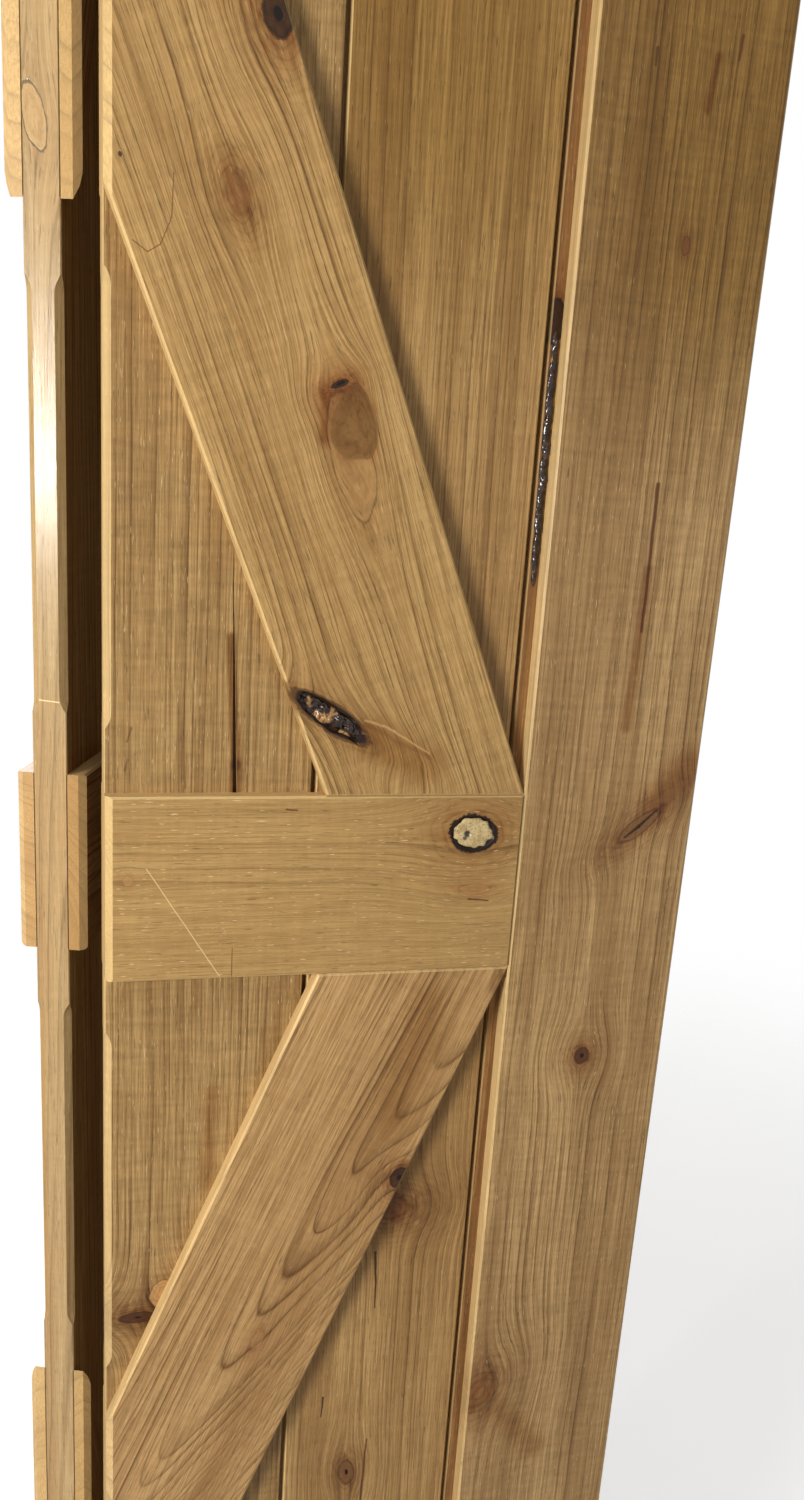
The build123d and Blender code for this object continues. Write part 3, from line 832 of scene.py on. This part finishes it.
def makeKnotPlug():   # the pale knot that sits loose in its black ring
    bpy.ops.object.select_all(action="DESELECT")
    bpy.ops.mesh.primitive_cylinder_add(vertices=96, radius=1, depth=1, location=(0, 0, 0))
    piece = bpy.context.object
    piece.name = "rail_knot"
    bpy.ops.object.mode_set(mode="EDIT")
    bpy.ops.mesh.select_all(action="DESELECT")
    bpy.ops.object.mode_set(mode="OBJECT")
    for face in piece.data.polygons:
        face.select = face.normal.z > 0.9
    bpy.ops.object.mode_set(mode="EDIT")
    for thickness in plug["insets"]:
        bpy.ops.mesh.inset(thickness=thickness)
    bpy.ops.object.mode_set(mode="OBJECT")
    for vertex in piece.data.vertices:
        spot = vertex.co.copy()
        reach = math.hypot(spot.x, spot.y)
        heading = math.atan2(spot.y, spot.x)
        rimPlace = Vector((3.0 * math.cos(heading), 3.0 * math.sin(heading), plug["seed"]))
        ragged = 1 + 0.16 * bumps.noise(rimPlace)
        x, y = spot.x * plug["size"][1] * ragged, spot.y * plug["size"][0] * ragged
        z = -plug["thick"]
        if spot.z > 0:
            z = -0.9 * max(0.0, reach - 0.90) / 0.10 + 0.22 * bumps.noise(Vector((x, y, 0)) * 0.9)
            gap = math.hypot(y - plug["hole"][0], x - plug["hole"][1])
            if gap < plug["holeSize"]:
                z -= plug["holeDeep"] * (1 - gap / plug["holeSize"]) ** 0.5
        vertex.co = Vector((x, y, z)) * mm
    bpy.ops.object.shade_smooth_by_angle(angle=math.radians(40))
    layOn(piece, plug["at"], plug["turn"], plug["depth"])
    material, tree, shader, local = newSurface("knotEnd")
    grit = noise(tree, local, (700, 700, 700), 4, 0.65)
    cloud = noise(tree, local, (160, 160, 160), 3, 0.5)
    colour = mix(tree, ease(tree, cloud, 0.35, 0.65), tone(*plug["pale"]), tone(*plug["tan"]))
    colour = mix(tree, ease(tree, grit, 0.52, 0.66), colour, tone(*plug["grit"]))
    middle = Vector((leaf["fold"][0] + plug["at"][0] - 4.8, 0, leaf["middle"] + plug["at"][1] - 1.0)) * mm
    off = vec(tree, "MULTIPLY", vec(tree, "SUBTRACT", local, middle), (1000, 0, 1000))
    dark = ease(tree, vec(tree, "LENGTH", off), 1.5, 3.2, 1.0, 0.0)
    check = vec(tree, "ADD", off, (2.0, 0, 3.0))   # the drying check runs down from the hole
    dark = calc(tree, "MAXIMUM", dark, ease(tree, vec(tree, "LENGTH", check), 0.8, 2.4, 0.9, 0.0))
    colour = mix(tree, dark, colour, tone(*plug["dark"]))
    feed(tree, shader.inputs["Base Color"], colour)
    feed(tree, shader.inputs["Roughness"], ease(tree, grit, 0.3, 0.7, 0.30, 0.55))
    roughen(tree, shader, grit, 0.6, 0.0004)
    shader.inputs["Coat Weight"].default_value = 0.3
    piece.data.materials.append(material)
    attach(piece, "root")


makeKnotPlug()
print("bark and knot set in")


steelLook = {
    "colour": (150, 152, 150), "wear": (186, 186, 182), "scratch": (112, 112, 110), "roughness": 0.34,
}


def makeSteel():
    material, tree, shader, local = newSurface("brushedSteel")
    brush = noise(tree, local, (900, 900, 60), 3, 0.6)
    cloud = noise(tree, local, (60, 60, 60), 3, 0.6)
    colour = mix(tree, ease(tree, cloud, 0.35, 0.7), tone(*steelLook["colour"]), tone(*steelLook["wear"]))
    colour = mix(tree, ease(tree, brush, 0.3, 0.7, 0.0, 0.25), colour, tone(*steelLook["scratch"]))
    feed(tree, shader.inputs["Base Color"], colour)
    roughness = plus(tree, steelLook["roughness"] - 0.1, times(tree, brush, 0.2))
    feed(tree, shader.inputs["Roughness"], roughness)
    roughen(tree, shader, brush, 0.25, 0.0001)
    shader.inputs["Metallic"].default_value = 1.0
    return material


steel = makeSteel()
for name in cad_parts:
    if "hinge" in name:
        dress(name, steel)

screw = {
    "head": 4.1, "neck": 2.3, "cone": 2.05, "length": 2.3, "sunk": 0.06,
    "pitch": 30.5, "across": (21.5, 31.5, 21.5), "slot": 0.75, "slotReach": 2.3, "slotDepth": 1.1,
}


def makeScrew():   # head up, its face at the origin
    bpy.ops.mesh.primitive_cylinder_add(
        vertices=32, radius=screw["head"] * mm, depth=screw["length"] * mm,
        location=(0, 0, -screw["length"] * mm / 2),
    )
    body = bpy.context.object
    bpy.ops.object.mode_set(mode="EDIT")
    bpy.ops.mesh.select_all(action="SELECT")
    bpy.ops.mesh.bisect(plane_co=(0, 0, -screw["cone"] * mm), plane_no=(0, 0, 1))
    bpy.ops.object.mode_set(mode="OBJECT")
    for vertex in body.data.vertices:
        vertex.select = vertex.co.z < -(screw["cone"] - 0.05) * mm
    for edge in body.data.edges:
        edge.select = all(body.data.vertices[i].select for i in edge.vertices)
    for face in body.data.polygons:
        face.select = all(body.data.vertices[i].select for i in face.vertices)
    bpy.ops.object.mode_set(mode="EDIT")
    shrink = screw["neck"] / screw["head"]
    bpy.ops.transform.resize(value=(shrink, shrink, 1), center_override=(0, 0, 0))
    bpy.ops.object.mode_set(mode="OBJECT")
    cutters = []
    for size in ((screw["slotReach"] * 2, screw["slot"]), (screw["slot"], screw["slotReach"] * 2)):
        bpy.ops.mesh.primitive_cube_add(size=1, location=(0, 0, 0))
        cutter = bpy.context.object
        cutter.scale = (size[0] * mm, size[1] * mm, screw["slotDepth"] * 2 * mm)
        bpy.ops.object.transform_apply(location=True, rotation=True, scale=True)
        for vertex in cutter.data.vertices:
            if vertex.co.z < 0:
                vertex.co.x *= 0.55
                vertex.co.y *= 0.55
        cut = body.modifiers.new("slot", "BOOLEAN")
        cut.object = cutter
        cut.solver = "EXACT"
        cutters.append(cutter)
    takeUp(body)
    for cut in list(body.modifiers):
        bpy.ops.object.modifier_apply(modifier=cut.name)
    for cutter in cutters:
        bpy.data.objects.remove(cutter, do_unlink=True)
    return body


pattern = makeScrew()
for side in ("right", "left"):
    for end in ("bottom", "top"):
        low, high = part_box(f"{end}_hinge_{side}_plate")
        for row, across in enumerate(screw["across"]):
            height = (low.z + high.z) / 2 / mm + (row - 1) * screw["pitch"]
            centre = onLeaf(side, leaf["fold"][0] - leaf["pin"][0] + screw["sunk"], -across, height)
            facing = (-awayFromFold(side)).to_track_quat("Z", "Y").to_matrix().to_4x4()
            copy = bpy.data.objects.new(f"{end}_{side}_screw_{row + 1}", pattern.data.copy())
            bpy.context.collection.objects.link(copy)
            twist = Matrix.Rotation(math.radians(17 + 41 * row), 4, "Z")
            copy.data.transform(Matrix.Translation(centre) @ facing @ twist)
            copy.data.materials.append(steel)
            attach(copy, "root")
bpy.data.objects.remove(pattern, do_unlink=True)
print("hinges and screws dressed")


studio = {
    "sky": 0.18, "skyBehind": 0.04, "floor": (232, 230, 226), "floorPale": (240, 238, 234),
    "floorGlow": 0.55, "floorReach": 3.2, "aim": (-0.1, -0.2, 1.1),
    "lamps": {
        "keyLamp": (46, 0.45, (-1.75, -1.50, 1.46)),
        "glintLamp": (6, 0.14, (-1.190, -1.466, 1.364)),
        "topLamp": (18, 1.4, (-0.7, -0.9, 3.3)),
        "fillLamp": (5, 1.6, (1.6, -2.2, 1.2)),
        "backLamp": (34, 1.6, (-0.6, 3.0, 2.2)),
    },
}


def addLamp(name, power, size, place):
    data = bpy.data.lights.new(name, "AREA")
    data.energy = power
    data.size = size
    lamp = bpy.data.objects.new(name, data)
    bpy.context.collection.objects.link(lamp)
    lamp.location = place
    lamp.rotation_euler = (Vector(studio["aim"]) - Vector(place)).to_track_quat("-Z", "Y").to_euler()


for name, (power, size, place) in studio["lamps"].items():
    addLamp(name, power, size, place)

world = bpy.data.worlds.new("studioWorld")
bpy.context.scene.world = world
world.use_nodes = True
tree = world.node_tree
tree.nodes.clear()
path = addNode(tree, "ShaderNodeLightPath").outputs
seen = calc(tree, "MAXIMUM", path["Is Camera Ray"], path["Is Glossy Ray"])
seen = calc(tree, "MAXIMUM", seen, path["Is Transmission Ray"])
backdrop = addNode(tree, "ShaderNodeBackground")
backdrop.inputs["Color"].default_value = (1, 1, 1, 1)
heading = addNode(tree, "ShaderNodeTexCoord").outputs["Generated"]
behind = vec(tree, "DOT_PRODUCT", heading, (0.81, 0.58, 0))   # the way the folded leaves open
sky = ease(tree, behind, -0.3, 0.6, studio["sky"], studio["skyBehind"])
feed(tree, backdrop.inputs["Strength"], ease(tree, seen, 0.0, 1.0, sky, 1.0))
tree.links.new(backdrop.outputs[0], addNode(tree, "ShaderNodeOutputWorld").inputs[0])

bpy.ops.mesh.primitive_circle_add(
    vertices=96, radius=studio["floorReach"], fill_type="NGON", location=(0, 0, -0.0005),
)
floor = bpy.context.object
floor.name = "floor"
material = bpy.data.materials.new("paleFloor")
material.use_nodes = True
tree = material.node_tree
tree.nodes.clear()
plain = addNode(tree, "ShaderNodeBsdfDiffuse")
grit = noise(tree, addNode(tree, "ShaderNodeTexCoord").outputs["Object"], (3, 3, 3), 3)
feed(tree, plain.inputs["Color"], mix(tree, grit, tone(*studio["floor"]), tone(*studio["floorPale"])))
glow = addNode(tree, "ShaderNodeEmission")
glow.inputs["Color"].default_value = (1, 1, 1, 1)
seen = addNode(tree, "ShaderNodeLightPath").outputs["Is Camera Ray"]
feed(tree, glow.inputs["Strength"], times(tree, seen, studio["floorGlow"]))
lit = addNode(tree, "ShaderNodeAddShader")
tree.links.new(plain.outputs[0], lit.inputs[0])
tree.links.new(glow.outputs[0], lit.inputs[1])
clear = addNode(tree, "ShaderNodeBsdfTransparent")
blend = addNode(tree, "ShaderNodeMixShader")
spot = addNode(tree, "ShaderNodeTexCoord").outputs["Object"]
feed(tree, blend.inputs[0], ease(tree, vec(tree, "LENGTH", spot), 1.0, studio["floorReach"] - 0.1))
tree.links.new(lit.outputs[0], blend.inputs[1])
tree.links.new(clear.outputs[0], blend.inputs[2])
tree.links.new(blend.outputs[0], addNode(tree, "ShaderNodeOutputMaterial").inputs[0])
floor.data.materials.append(material)

lens = {"place": (-0.24918, -1.12579, 1.34874), "yaw": 14.34, "pitch": -16.5, "roll": 3.03, "focal": 30.065,
        "shift": (0.0422, 0.0769)}
cameraData = bpy.data.cameras.new("photoView")
cameraData.lens = lens["focal"]
cameraData.sensor_width = 36
cameraData.shift_x, cameraData.shift_y = lens["shift"]
cameraData.clip_start = 0.01
camera = bpy.data.objects.new("photoView", cameraData)
bpy.context.collection.objects.link(camera)
camera.location = lens["place"]
camera.rotation_euler = (
    Matrix.Rotation(math.radians(-lens["yaw"]), 3, "Z")
    @ Matrix.Rotation(math.radians(90 + lens["pitch"]), 3, "X")
    @ Matrix.Rotation(math.radians(lens["roll"]), 3, "Z")
).to_euler()
bpy.context.scene.camera = camera
bpy.context.scene.view_settings.view_transform = "Standard"
print("studio set")
